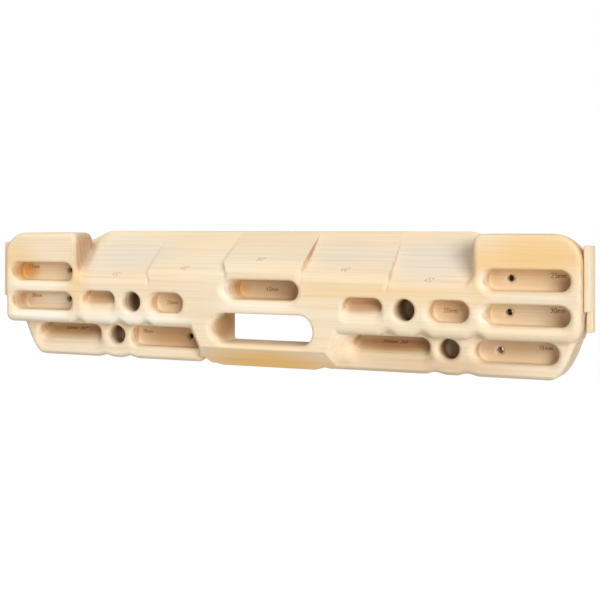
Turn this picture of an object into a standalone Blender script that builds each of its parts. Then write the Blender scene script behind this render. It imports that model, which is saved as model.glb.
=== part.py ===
"""Wooden hangboard: a blank glued up from four rows of staves, with two small wooden pieces on each end.

Metres, +Z up, X along the board. The origin is the middle of the back face, which lies on the wall at Y = 0,
so the front plane is at Y = -THICKNESS. Depths below are measured from the front plane towards the wall.
Lengths and places along the board are in parts of its length, of which it has 700.
"""
import math

import bmesh
import bpy
from mathutils import Vector

# Blank
LENGTH = 0.700
PART = LENGTH / 700
HEIGHT = 0.150
THICKNESS = 0.058
TOP_STAVE_HEIGHT = 0.047
UPPER_STAVE_HEIGHT = 0.0335
MIDDLE_STAVE_HEIGHT = 0.0305
GLUE_GAP = 0.0003

# Outline of the upper part, seen from the front
TOP_CORNER_RADIUS = 0.025
LOWER_CORNER_RADIUS = 0.015
END_EDGE_RADIUS = 0.0055
UPPER_PART_HEIGHT = 0.108
LIP_RADIUS = 0.008
SCALLOP_RISE = 0.006
SCALLOP_WIDTH = 30 * PART

# Lower part, which is set back and narrows towards the bottom
SETBACK = 0.015
LOWER_INSET_AT_TOP = 12 * PART
LOWER_END_RUN = 28 * PART
LOWER_END_POWER = 1.75
LOWER_EDGE_RADIUS = 0.007
LOWER_EDGE_SHARE = 0.6
NOTCH_RISE = 0.009
NOTCH_WIDTH = 32 * PART

# Middle bulge, which keeps the front plane down to the bottom
BULGE_WIDTH_AT_TOP = 180 * PART
BULGE_WIDTH_AT_BOTTOM = 140 * PART
BULGE_CORNER_RADIUS = 0.011
BULGE_CHAMFER_HEIGHT = 0.022
BULGE_CHAMFER_DEPTH = 0.020
BULGE_CHAMFER_SHARE = 0.8

# Sloping top: three slopes on each side of the middle
CENTRE_SLOPE_WIDTH = 98 * PART
SIDE_SLOPE_LENGTH = 99 * PART
OUTER_SLOPE_LENGTH = 95 * PART
CENTRE_SLOPE_DROP = 0.0355
SIDE_SLOPE_DROP = 0.0470
OUTER_SLOPE_DROP = 0.0560
SLOPE_EDGE_RADIUS = 0.020
OUTER_SLOPE_EDGE_RADIUS = 0.009
BACK_LEDGE = 0.002
RIDGE_RISE = 0.002
COVE_RADIUS = 0.010
BLOCK_EDGE_RADIUS = 0.006
FLARE_LENGTH = 0.025
FLARE_REACH = 18 * PART
FLARE_POWER = 1.5
BACK_DIP = 0.011
BACK_DIP_POWER = 3
FACE_MARGIN = 0.001
FACE_BLEND = 0.002

# Long pockets near the ends
END_POCKET_LENGTH = 90 * PART
END_POCKET_HEIGHT = 0.0235
END_POCKET_MARGIN = 9.5 * PART
FIRST_POCKET_BELOW_TOP = 0.0355
SECOND_POCKET_BELOW_TOP = 0.0705
FIRST_POCKET_DEPTH = 0.025
SECOND_POCKET_DEPTH = 0.030

# Middle pocket and the slot below it
CENTRE_POCKET_LENGTH = 94 * PART
CENTRE_POCKET_HEIGHT = 0.0235
CENTRE_POCKET_BELOW_TOP = 0.051
CENTRE_POCKET_DEPTH = 0.040
SLOT_LENGTH = 123 * PART
SLOT_HEIGHT = 0.0345
SLOT_BELOW_TOP = 0.0897
SLOT_CORNER_RADIUS = 0.015

# Short holds of the upper row, with their middles in the left and the right group
SMALL_HOLD_BELOW_TOP = 0.0683
SMALL_HOLD_HEIGHT = 0.0235
SLOPED_HOLD_LENGTH = 45 * PART
SLOPED_HOLD_DEPTH = 0.019
SLOPED_HOLD_ANGLE = 45.0
SLOPED_HOLD_LEFT = -214 * PART
SLOPED_HOLD_RIGHT = 118.5 * PART
SHALLOW_HOLD_LENGTH = 47.5 * PART
SHALLOW_HOLD_DEPTH = 0.020
SHALLOW_HOLD_LEFT = -124 * PART
SHALLOW_HOLD_RIGHT = 214.3 * PART
UPPER_MONO_DIAMETER = 0.0235
UPPER_MONO_DEPTH = 0.040
UPPER_MONO_LEFT = -169 * PART
UPPER_MONO_RIGHT = 166 * PART

# Holds of the lower row, with their middles in the left and the right group
LOWER_HOLD_BELOW_LIP = 0.001
LOWER_HOLD_HEIGHT = 0.0235
LONG_SLOPED_LENGTH = 90 * PART
LONG_SLOPED_DEPTH = 0.030
LONG_SLOPED_ANGLE = 30.0
LONG_SLOPED_LEFT = -266.3 * PART
LONG_SLOPED_RIGHT = 144 * PART
FLAT_HOLD_LENGTH = 90 * PART
FLAT_HOLD_DEPTH = 0.018
FLAT_HOLD_LEFT = -132.4 * PART
FLAT_HOLD_RIGHT = 280 * PART
LOWER_MONO_DIAMETER = 0.0225
LOWER_MONO_DEPTH = 0.030
LOWER_MONO_LEFT = -199 * PART
LOWER_MONO_RIGHT = 210.4 * PART

# Rounding inside the holds
HOLD_CORNER_RADIUS = 0.009
HOLD_LIP_DEPTH = 0.005
HOLD_SIDE_LIP = 0.004
HOLD_TOP_LIP = 0.0025
HOLD_BOTTOM_LIP = 0.006
HOLD_FLOOR_RADIUS = 0.003
MOST_ROUNDED = 0.49
LIP_DEGREES = (25.0, 50.0, 90.0)

# Screw holes through the floors of the end pockets and of the two flat holds
SCREW_HOLE_DIAMETER = 0.007
SCREW_HEAD_DIAMETER = 0.012
SCREW_HEAD_DEPTH = 0.0025
SCREW_HEAD_LEAD = 0.001
FIRST_SCREW_FROM_MIDDLE = 273 * PART
SECOND_SCREW_FROM_MIDDLE = 273.7 * PART
SECOND_SCREW_SHIFT = -3.7 * PART
END_SCREW_ABOVE_MIDDLE = 0.0015
LOWER_SCREW_LEFT = -108.8 * PART
LOWER_SCREW_RIGHT = 259.5 * PART

# Wooden rail and batten on each end, pinned with dowels
RAIL_THICKNESS = 0.0062
RAIL_DEPTH = 0.0147
RAIL_LENGTH = 0.0665
RAIL_SETBACK = 0.008
RAIL_BELOW_TOP = 0.0115
BATTEN_DEPTH = 0.015
BATTEN_LENGTH = 0.0855
BATTEN_BELOW_RAIL = 0.003
BATTEN_EDGE = 0.001
RAIL_EDGE = 0.002
SEAT_GAP = 0.0003
DOWEL_DIAMETER = 0.005
DOWEL_IN_BOARD = 0.006
DOWEL_IN_RAIL = 0.0035
DOWEL_SPACING = 0.020
DOWELS_BELOW_TOP = 0.04725

# Fineness
ARC_STEPS = 4
CORNER_STEPS = 4
ROUND_STEPS = 16
BEVEL_STEPS = 2
REAR_STEPS = 6
FLAT_DEGREES = 1.0
CUT_MARGIN = 0.004
TINY = 0.0002
ARC_SHARES = [1.0 - math.cos(math.radians(degrees)) for degrees in (0, 30, 60, 90)]
FLOOR_SHARE = 1.0 - math.cos(math.radians(45))
END_CURVE_SHARES = (0.0, 0.15, 0.35, 0.6, 1.0)
BUMP_SHARES = (-0.5, -0.3, -0.12, 0.12, 0.3, 0.5)
FLARE_SHARES = (0.5, 0.75)
FLARE_FOOT_SHARE = 0.8
FLARE_END_SHARE = 0.99

TOP = HEIGHT / 2
BOTTOM = -HEIGHT / 2
RIDGE = TOP + RIDGE_RISE
HALF_LENGTH = LENGTH / 2
UNDERSIDE = TOP - UPPER_PART_HEIGHT
UPPER_HOLD_TOP = TOP - SMALL_HOLD_BELOW_TOP
LOWER_HOLD_TOP = UNDERSIDE - LOWER_HOLD_BELOW_LIP
STEP_1 = CENTRE_SLOPE_WIDTH / 2
STEP_2 = STEP_1 + SIDE_SLOPE_LENGTH
BLOCK_WALL = STEP_2 + OUTER_SLOPE_LENGTH
HINGE = THICKNESS - BACK_LEDGE
FLARE_START = HINGE - FLARE_LENGTH
FLARE_END = BLOCK_WALL + FLARE_REACH
END_POCKET_MIDDLE = HALF_LENGTH - END_POCKET_MARGIN - END_POCKET_LENGTH / 2


def clamp(value, low, high):
    return max(low, min(high, value))


def rounding(distance, radius):
    """How far a rounded edge has fallen back at a distance inside the edge it rounds."""
    if distance >= radius:
        return 0.0
    inner = radius - max(distance, 0.0)
    return radius - math.sqrt(radius * radius - inner * inner)


def smooth(t):
    t = clamp(t, 0.0, 1.0)
    return t * t * (3.0 - 2.0 * t)


def bump(distance, width):
    """A smooth hill, 1 at its top and 0 at half its width away."""
    return 1.0 - smooth(abs(distance) / (width / 2))


class Hold:
    """A cavity milled into the board: its outline on the face it starts from, and its depth."""

    def __init__(self, middle, length, top, height, depth, start=0.0, angle=0.0, corner=None):
        self.left = middle - length / 2
        self.right = middle + length / 2
        self.top = top
        self.bottom = top - height
        self.depth = depth
        self.start = start
        self.rise = math.tan(math.radians(angle))
        self.corner = height / 2 if corner is None else corner


def upper_hold(middle, length, depth, angle=0.0, corner=None):
    return Hold(middle, length, UPPER_HOLD_TOP, SMALL_HOLD_HEIGHT, depth, 0.0, angle, corner)


def upper_sloped(middle):
    return upper_hold(middle, SLOPED_HOLD_LENGTH, SLOPED_HOLD_DEPTH, SLOPED_HOLD_ANGLE, HOLD_CORNER_RADIUS)


def upper_mono(middle):
    """A round one-finger hole, centred on the upper row."""
    top = UPPER_HOLD_TOP - (SMALL_HOLD_HEIGHT - UPPER_MONO_DIAMETER) / 2
    return Hold(middle, UPPER_MONO_DIAMETER, top, UPPER_MONO_DIAMETER, UPPER_MONO_DEPTH)


def lower_hold(middle, length, depth, angle=0.0, corner=None):
    return Hold(middle, length, LOWER_HOLD_TOP, LOWER_HOLD_HEIGHT, depth, SETBACK, angle, corner)


def lower_sloped(middle):
    return lower_hold(middle, LONG_SLOPED_LENGTH, LONG_SLOPED_DEPTH, LONG_SLOPED_ANGLE, HOLD_CORNER_RADIUS)


def lower_mono(middle):
    """A round one-finger hole, centred on the lower row."""
    top = LOWER_HOLD_TOP - (LOWER_HOLD_HEIGHT - LOWER_MONO_DIAMETER) / 2
    return Hold(middle, LOWER_MONO_DIAMETER, top, LOWER_MONO_DIAMETER, LOWER_MONO_DEPTH, SETBACK)


def end_pocket(side, below_top, depth):
    return Hold(side * END_POCKET_MIDDLE, END_POCKET_LENGTH, TOP - below_top, END_POCKET_HEIGHT, depth)


UPPER_ROW = [
    upper_sloped(SLOPED_HOLD_LEFT),
    upper_mono(UPPER_MONO_LEFT),
    upper_hold(SHALLOW_HOLD_LEFT, SHALLOW_HOLD_LENGTH, SHALLOW_HOLD_DEPTH),
    upper_sloped(SLOPED_HOLD_RIGHT),
    upper_mono(UPPER_MONO_RIGHT),
    upper_hold(SHALLOW_HOLD_RIGHT, SHALLOW_HOLD_LENGTH, SHALLOW_HOLD_DEPTH),
]
LOWER_ROW = [
    lower_sloped(LONG_SLOPED_LEFT),
    lower_mono(LOWER_MONO_LEFT),
    lower_hold(FLAT_HOLD_LEFT, FLAT_HOLD_LENGTH, FLAT_HOLD_DEPTH),
    lower_sloped(LONG_SLOPED_RIGHT),
    lower_mono(LOWER_MONO_RIGHT),
    lower_hold(FLAT_HOLD_RIGHT, FLAT_HOLD_LENGTH, FLAT_HOLD_DEPTH),
]
END_POCKETS = [
    end_pocket(side, below_top, depth)
    for side in (-1, 1)
    for below_top, depth in (
        (FIRST_POCKET_BELOW_TOP, FIRST_POCKET_DEPTH),
        (SECOND_POCKET_BELOW_TOP, SECOND_POCKET_DEPTH),
    )
]
CENTRE_POCKET = Hold(
    0.0, CENTRE_POCKET_LENGTH, TOP - CENTRE_POCKET_BELOW_TOP, CENTRE_POCKET_HEIGHT, CENTRE_POCKET_DEPTH
)
SLOT = Hold(
    0.0, SLOT_LENGTH, TOP - SLOT_BELOW_TOP, SLOT_HEIGHT, THICKNESS + CUT_MARGIN, corner=SLOT_CORNER_RADIUS
)


def bulge_half_width(z):
    share = (UNDERSIDE - z) / (UNDERSIDE - BOTTOM)
    straight = BULGE_WIDTH_AT_TOP + (BULGE_WIDTH_AT_BOTTOM - BULGE_WIDTH_AT_TOP) * share
    return straight / 2 - rounding(z - BOTTOM, BULGE_CORNER_RADIUS)


def stop_at_bulge(hold):
    """Shortens a hold of the lower row that would run into the flank of the bulge."""
    foot = bulge_half_width((hold.top + hold.bottom) / 2) + SETBACK
    if hold.left > 0:
        hold.left = max(hold.left, foot)
    else:
        hold.right = min(hold.right, -foot)


for lower in LOWER_ROW:
    stop_at_bulge(lower)


def gaps_between(holds):
    """The middles of the gaps between neighbouring holds on the same side of the board."""
    row = sorted(holds, key=lambda hold: hold.left)
    pairs = zip(row, row[1:])
    return [(first.right + second.left) / 2 for first, second in pairs if first.right * second.left > 0]


SCALLOPS = gaps_between(UPPER_ROW + END_POCKETS[1::2])
NOTCHES = gaps_between(LOWER_ROW)


def flank(ax, z):
    """Depth of the bulge's side, which falls back at 45 degrees to the lower part."""
    return clamp(ax - bulge_half_width(z), 0.0, SETBACK)


def underside_height(x):
    scallops = sum(bump(x - place, SCALLOP_WIDTH) for place in SCALLOPS)
    corner = rounding(HALF_LENGTH - abs(x), LOWER_CORNER_RADIUS)
    return UNDERSIDE + SCALLOP_RISE * scallops + corner


def bottom_height(x):
    """Lower outline behind the setback: the bottom edge and the curve that rises from it to the end face."""
    inset = HALF_LENGTH - abs(x)
    share = max(1.0 - (inset - LOWER_INSET_AT_TOP) / LOWER_END_RUN, 0.0)
    notches = sum(bump(x - place, NOTCH_WIDTH) for place in NOTCHES)
    rise = (UNDERSIDE - TINY - BOTTOM) * share ** LOWER_END_POWER
    return BOTTOM + rise + NOTCH_RISE * notches


def slope_of(ax):
    """Drop of the sloping top at the front plane, and the radius of its front edge."""
    if ax < STEP_1:
        return CENTRE_SLOPE_DROP, SLOPE_EDGE_RADIUS
    if ax < STEP_2:
        return SIDE_SLOPE_DROP, SLOPE_EDGE_RADIUS
    return OUTER_SLOPE_DROP, OUTER_SLOPE_EDGE_RADIUS


def dip(ax):
    """The back edge of the slope sinks a little where it meets the end block."""
    start = BLOCK_WALL - FLARE_REACH
    return BACK_DIP * smooth((ax - start) / (FLARE_END - start))


def slope_height(ax, depth):
    drop = slope_of(ax)[0]
    cove = rounding(BLOCK_WALL - ax, COVE_RADIUS) if ax < BLOCK_WALL else COVE_RADIUS
    fade = clamp((FLARE_END - ax) / FLARE_REACH, 0.0, 1.0)
    share = depth / HINGE
    plane = RIDGE - (drop + RIDGE_RISE) * (1.0 - share)
    return plane - dip(ax) * share ** BACK_DIP_POWER + cove * fade * (1.0 - share)


def edge_arc(depth, height, slope, radius):
    """Points over a rounded edge, from a top that slopes up towards the back down to the upright face."""
    setback = radius * math.tan((math.pi / 2 - slope) / 2)
    centre_height = height - setback
    points = []
    for step in range(ARC_STEPS + 1):
        angle = (math.pi / 2 - slope) * (1.0 - step / ARC_STEPS)
        points.append((depth + radius - radius * math.cos(angle), centre_height + radius * math.sin(angle)))
    return points


def lowest_slope_tangent():
    tangents = []
    for ax in (0.0, STEP_1, STEP_2):
        drop, radius = slope_of(ax)
        slope = math.atan2(drop + RIDGE_RISE, HINGE)
        tangents.append(TOP - drop - radius * math.tan((math.pi / 2 - slope) / 2))
    return min(tangents)


FACE_TOP = lowest_slope_tangent() - FACE_MARGIN


def top_points(ax):
    """Depth and height from the back face over the top to the upright front face."""
    inset = HALF_LENGTH - ax
    face = rounding(inset, END_EDGE_RADIUS)
    if ax < BLOCK_WALL:
        behind = FLARE_START
        before = FLARE_START * FLARE_FOOT_SHARE
        slope = math.atan2(slope_height(ax, behind) - slope_height(ax, 0.0), behind)
        arc = edge_arc(face, slope_height(ax, 0.0), slope, slope_of(ax)[1])
        back = RIDGE - dip(ax)
        wall = [(behind, slope_height(ax, behind)), (before, slope_height(ax, before))]
    else:
        height = TOP - rounding(inset, TOP_CORNER_RADIUS)
        block_face = max(face, rounding(ax - BLOCK_WALL, BLOCK_EDGE_RADIUS))
        arc = edge_arc(block_face, height, 0.0, END_EDGE_RADIUS)
        if ax < FLARE_END:
            share = ((ax - BLOCK_WALL) / FLARE_REACH) ** (1.0 / FLARE_POWER)
            behind = FLARE_START + FLARE_LENGTH * share * FLARE_END_SHARE
            back = RIDGE - dip(ax)
            wall = [(behind, slope_height(ax, behind)), (behind, height)]
        else:
            back = height
            wall = [(HINGE - FACE_MARGIN * step, height) for step in (1, 2)]
    lower_face = arc[-1][0]
    front = [(lower_face, FACE_TOP), (face, FACE_TOP - FACE_BLEND)]
    return [(THICKNESS, back), (HINGE, back)] + wall + arc + front


def lip_points(x):
    """The lip under the upper part, and its underside back to the lower part."""
    ax = abs(x)
    edge = underside_height(x)
    face = rounding(HALF_LENGTH - ax, END_EDGE_RADIUS)
    reach = flank(ax, edge)
    points = []
    for share in reversed(ARC_SHARES):
        height = share * LIP_RADIUS
        points.append((face + min(rounding(height, LIP_RADIUS), reach), edge + height))
    points.append((max(reach, points[-1][0]), edge - TINY / 2))
    return points


def lower_points(x):
    """Front of the lower part, from the underside of the lip down to the bottom edge."""
    ax = abs(x)
    bottom = bottom_height(x)
    if HALF_LENGTH - ax < LOWER_INSET_AT_TOP:
        width = THICKNESS - SETBACK - TINY
        return [(SETBACK + TINY + width * step / REAR_STEPS, bottom) for step in range(REAR_STEPS)]
    height = max(UNDERSIDE - TINY - bottom, TINY)
    radius = min(LOWER_EDGE_RADIUS, LOWER_EDGE_SHARE * height)
    levels = [height, min(BULGE_CHAMFER_HEIGHT, BULGE_CHAMFER_SHARE * height)]
    levels += [radius * share for share in reversed(ARC_SHARES)]
    points = []
    for level in levels:
        row = SETBACK + rounding(level, radius)
        chamfer = BULGE_CHAMFER_DEPTH * clamp(1.0 - level / BULGE_CHAMFER_HEIGHT, 0.0, 1.0)
        side = ax - bulge_half_width(bottom + level)
        points.append((max(min(max(side, 0.0), row), chamfer), bottom + level))
    return points


def section(x):
    """The board's cross-section at one place along its length, as depths and heights."""
    ax = abs(x)
    return [(THICKNESS, bottom_height(x))] + top_points(ax) + lip_points(x) + lower_points(x)


def stations():
    """Places along the board where its cross-section changes, from left to right."""
    mirrored = [0.0, STEP_1 - TINY, STEP_1 + TINY, STEP_2 - TINY, STEP_2 + TINY]
    mirrored += [BLOCK_WALL - FLARE_REACH, BLOCK_WALL - TINY, BLOCK_WALL + TINY]
    mirrored += [FLARE_END - TINY, FLARE_END + TINY]
    mirrored += [BLOCK_WALL - COVE_RADIUS * share for share in ARC_SHARES[1:]]
    mirrored += [BLOCK_WALL + BLOCK_EDGE_RADIUS * share for share in ARC_SHARES[1:]]
    mirrored += [BLOCK_WALL + FLARE_REACH * share for share in FLARE_SHARES]
    mirrored += [HALF_LENGTH - END_EDGE_RADIUS * share for share in ARC_SHARES]
    mirrored += [HALF_LENGTH - TOP_CORNER_RADIUS * share for share in ARC_SHARES[2:]]
    curve = HALF_LENGTH - LOWER_INSET_AT_TOP
    mirrored += [curve] + [curve - TINY - LOWER_END_RUN * share for share in END_CURVE_SHARES]
    widest = BULGE_WIDTH_AT_TOP / 2
    narrowest = BULGE_WIDTH_AT_BOTTOM / 2
    mirrored += [widest + SETBACK, widest + SETBACK / 2, widest, (widest + narrowest) / 2, narrowest]
    mirrored += [narrowest - BULGE_CORNER_RADIUS, narrowest + SETBACK]
    places = {round(side * place, 6) for place in mirrored for side in (-1, 1)}
    for middles, width in ((SCALLOPS, SCALLOP_WIDTH), (NOTCHES, NOTCH_WIDTH)):
        for middle in middles:
            places.update(round(middle + width * share, 6) for share in BUMP_SHARES)
    return sorted(places)


def place(x, depth, z):
    return Vector((x, depth - THICKNESS, z))


def mesh_from_rings(name, rings):
    """A closed mesh from rings of points with the same number of points each, capped at both ends."""
    bm = bmesh.new()
    verts = [[bm.verts.new(point) for point in ring] for ring in rings]
    count = len(rings[0])
    for first, second in zip(verts, verts[1:]):
        for i in range(count):
            j = (i + 1) % count
            bm.faces.new((first[i], first[j], second[j], second[i]))
    bmesh.ops.triangulate(bm, faces=bm.faces)
    bm.faces.new(list(reversed(verts[0])))
    bm.faces.new(verts[-1])
    bmesh.ops.recalc_face_normals(bm, faces=bm.faces)
    mesh = bpy.data.meshes.new(name)
    bm.to_mesh(mesh)
    bm.free()
    return mesh


def new_object(name, mesh, material=None):
    thing = bpy.data.objects.new(name, mesh)
    bpy.context.collection.objects.link(thing)
    if material:
        mesh.materials.append(material)
    return thing


def hide_guide(guide):
    guide.hide_render = True
    guide.display_type = "WIRE"
    return guide


def cut(target, cutter, operation="DIFFERENCE"):
    modifier = target.modifiers.new(cutter.name, "BOOLEAN")
    modifier.operation = operation
    modifier.solver = "EXACT"
    modifier.object = cutter


def merge_flat_faces(thing):
    modifier = thing.modifiers.new("flat_faces", "DECIMATE")
    modifier.decimate_type = "DISSOLVE"
    modifier.angle_limit = math.radians(FLAT_DEGREES)


def wood(name, color, roughness=0.62):
    material = bpy.data.materials.new(name)
    material.use_nodes = True
    shader = material.node_tree.nodes["Principled BSDF"]
    shader.inputs["Base Color"].default_value = (*color, 1.0)
    shader.inputs["Roughness"].default_value = roughness
    shader.inputs["Metallic"].default_value = 0.0
    return material


def outline(left, right, bottom, top, corner, depth):
    """A rounded rectangle, seen from the front, as a ring of points at one depth."""
    corner = min(corner, MOST_ROUNDED * (top - bottom), MOST_ROUNDED * (right - left))
    ring = []
    corners = ((right, top, 0), (left, top, 1), (left, bottom, 2), (right, bottom, 3))
    for x, z, quarter in corners:
        middle_x = x - corner if x == right else x + corner
        middle_z = z - corner if z == top else z + corner
        for step in range(CORNER_STEPS + 1):
            angle = math.pi / 2 * (quarter + step / CORNER_STEPS)
            across = middle_x + corner * math.cos(angle)
            ring.append(place(across, depth, middle_z + corner * math.sin(angle)))
    return ring


def hold_ring(hold, depth, grow, shrink):
    """The hold's outline at a depth, widened by a share of its lip or narrowed by its floor's rounding."""
    floor_rise = hold.rise * clamp(depth - hold.start, 0.0, hold.depth)
    return outline(
        hold.left - grow * HOLD_SIDE_LIP + shrink,
        hold.right + grow * HOLD_SIDE_LIP - shrink,
        hold.bottom + floor_rise - grow * HOLD_BOTTOM_LIP + shrink,
        hold.top + grow * HOLD_TOP_LIP - shrink,
        hold.corner + grow * HOLD_SIDE_LIP - shrink,
        depth,
    )


def hold_cutter(name, hold):
    rings = [hold_ring(hold, -CUT_MARGIN, 1.0, 0.0), hold_ring(hold, hold.start - TINY, 1.0, 0.0)]
    for degrees in LIP_DEGREES:
        angle = math.radians(degrees)
        depth = hold.start + HOLD_LIP_DEPTH * (1.0 - math.cos(angle))
        rings.append(hold_ring(hold, depth, 1.0 - math.sin(angle), 0.0))
    floor = hold.start + hold.depth
    radius = HOLD_FLOOR_RADIUS
    rings.append(hold_ring(hold, floor - radius, 0.0, 0.0))
    rings.append(hold_ring(hold, floor - FLOOR_SHARE * radius, 0.0, FLOOR_SHARE * radius))
    rings.append(hold_ring(hold, floor, 0.0, radius))
    return hide_guide(new_object(name, mesh_from_rings(name, rings)))


def circle(x, depth, z, radius):
    points = []
    for step in range(ROUND_STEPS):
        angle = math.tau * step / ROUND_STEPS
        points.append(place(x + radius * math.cos(angle), depth, z + radius * math.sin(angle)))
    return points


def screw_hole_cutter(name, x, z, floor):
    """A through hole with a countersink in the floor of its hold."""
    hole = SCREW_HOLE_DIAMETER / 2
    head = SCREW_HEAD_DIAMETER / 2
    spread = (head - hole) / SCREW_HEAD_DEPTH
    rings = [
        circle(x, floor - SCREW_HEAD_LEAD, z, head + spread * SCREW_HEAD_LEAD),
        circle(x, floor + SCREW_HEAD_DEPTH, z, hole),
        circle(x, THICKNESS + CUT_MARGIN, z, hole),
    ]
    return hide_guide(new_object(name, mesh_from_rings(name, rings)))


def box(name, low, high):
    """An upright box between two corners given as X, depth and height."""
    rings = []
    for z in (low[2], high[2]):
        rings.append([place(x, d, z) for x, d in
                      ((low[0], low[1]), (high[0], low[1]), (high[0], high[1]), (low[0], high[1]))])
    return mesh_from_rings(name, rings)


def dowel_mesh(name, start, end, depth, z, radius):
    """A round pin along X."""
    rings = []
    for x in (start, end):
        rings.append([
            place(x, depth + radius * math.cos(math.tau * step / ROUND_STEPS),
                  z + radius * math.sin(math.tau * step / ROUND_STEPS))
            for step in range(ROUND_STEPS)
        ])
    return mesh_from_rings(name, rings)


STAVE_TOPS = [
    TOP,
    TOP - TOP_STAVE_HEIGHT,
    TOP - TOP_STAVE_HEIGHT - UPPER_STAVE_HEIGHT,
    TOP - TOP_STAVE_HEIGHT - UPPER_STAVE_HEIGHT - MIDDLE_STAVE_HEIGHT,
    BOTTOM,
]
STAVE_NAMES = ("top_stave", "upper_stave", "middle_stave", "bottom_stave")
DOWEL_MIDDLE = TOP - DOWELS_BELOW_TOP
DOWEL_HEIGHTS = (DOWEL_MIDDLE + DOWEL_SPACING / 2, DOWEL_MIDDLE - DOWEL_SPACING / 2)
RAIL_FRONT = RAIL_SETBACK
RAIL_BACK = RAIL_FRONT + RAIL_DEPTH
BATTEN_FRONT = RAIL_BACK + SEAT_GAP
BATTEN_BACK = BATTEN_FRONT + BATTEN_DEPTH
RAIL_TOP = TOP - RAIL_BELOW_TOP
SEAT = HALF_LENGTH + SEAT_GAP


def all_cutters():
    """Every hold and screw hole as a cutter, with the range of heights that it reaches."""
    cutters = []
    named = [("centre_pocket_cutter", CENTRE_POCKET), ("slot_cutter", SLOT)]
    named += [(f"upper_hold_cutter_{i + 1}", hold) for i, hold in enumerate(UPPER_ROW)]
    named += [(f"lower_hold_cutter_{i + 1}", hold) for i, hold in enumerate(LOWER_ROW)]
    named += [(f"end_pocket_cutter_{i + 1}", hold) for i, hold in enumerate(END_POCKETS)]
    for name, hold in named:
        reach = (hold.bottom - HOLD_BOTTOM_LIP, hold.top + HOLD_TOP_LIP)
        cutters.append((hold_cutter(name, hold), reach))
    screws = []
    for i, pocket in enumerate(END_POCKETS):
        x = math.copysign(FIRST_SCREW_FROM_MIDDLE, pocket.left)
        if i % 2:
            x = math.copysign(SECOND_SCREW_FROM_MIDDLE, pocket.left) + SECOND_SCREW_SHIFT
        screws.append((x, END_SCREW_ABOVE_MIDDLE, pocket))
    screws += [(LOWER_SCREW_LEFT, 0.0, LOWER_ROW[2]), (LOWER_SCREW_RIGHT, 0.0, LOWER_ROW[5])]
    for i, (x, above, hold) in enumerate(screws):
        z = (hold.top + hold.bottom) / 2 + above
        cutter = screw_hole_cutter(f"screw_hole_cutter_{i + 1}", x, z, hold.start + hold.depth)
        cutters.append((cutter, (z - SCREW_HEAD_DIAMETER, z + SCREW_HEAD_DIAMETER)))
    return cutters


def dowels(side, depth, radius, clearance):
    """The pins on one end that hold a piece at this depth, as meshes."""
    start = side * (HALF_LENGTH - DOWEL_IN_BOARD - clearance)
    end = side * (SEAT + DOWEL_IN_RAIL + clearance)
    return [dowel_mesh("dowel", start, end, depth, z, radius) for z in DOWEL_HEIGHTS]


def dowel_cutters_for(name, side, depth):
    """The pins again, a little larger all round, to cut their holes."""
    meshes = dowels(side, depth, DOWEL_DIAMETER / 2 + SEAT_GAP, SEAT_GAP)
    return [hide_guide(new_object(f"{name}_{i + 1}", mesh)) for i, mesh in enumerate(meshes)]


def meets(cutter, left, right):
    """Whether a cutter reaches between two places along the board."""
    along = [(cutter.matrix_world @ vert.co).x for vert in cutter.data.vertices]
    return min(along) < right and max(along) > left


def build_staves(material, dowel_cutters):
    """The top stave is one length. Each of the others is two, with a joint in the middle of the board."""
    body = mesh_from_rings("blank", [[place(x, d, z) for d, z in section(x)] for x in stations()])
    cutters = all_cutters()
    for i, name in enumerate(STAVE_NAMES):
        high = STAVE_TOPS[i] - (GLUE_GAP / 2 if i else -CUT_MARGIN)
        low = STAVE_TOPS[i + 1] + (GLUE_GAP / 2 if i + 2 < len(STAVE_TOPS) else -CUT_MARGIN)
        reach = HALF_LENGTH + CUT_MARGIN
        spans = [(f"left_{name}", -reach, -GLUE_GAP / 2), (f"right_{name}", GLUE_GAP / 2, reach)]
        if name == STAVE_NAMES[0]:
            spans = [(name, -reach, reach)]
        for span_name, left, right in spans:
            stave = new_object(span_name, body.copy(), material)
            slab = box(f"{span_name}_slab", (left, -CUT_MARGIN, low), (right, THICKNESS + CUT_MARGIN, high))
            cut(stave, hide_guide(new_object(f"{span_name}_slab", slab)), "INTERSECT")
            for cutter, (bottom, top) in cutters:
                if bottom < high and top > low and meets(cutter, left, right):
                    cut(stave, cutter)
            if any(low < z < high for z in DOWEL_HEIGHTS):
                for cutter in dowel_cutters:
                    if meets(cutter, left, right):
                        cut(stave, cutter)
            merge_flat_faces(stave)


def end_piece(name, side, low, high, edge, material, cutters):
    mesh = box(name, (side * low[0], *low[1:]), (side * high[0], *high[1:]))
    piece = new_object(name, mesh, material)
    bevel = piece.modifiers.new("rounded_edges", "BEVEL")
    bevel.width = edge
    bevel.segments = BEVEL_STEPS
    bevel.limit_method = "ANGLE"
    for cutter in cutters:
        cut(piece, cutter)


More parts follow.
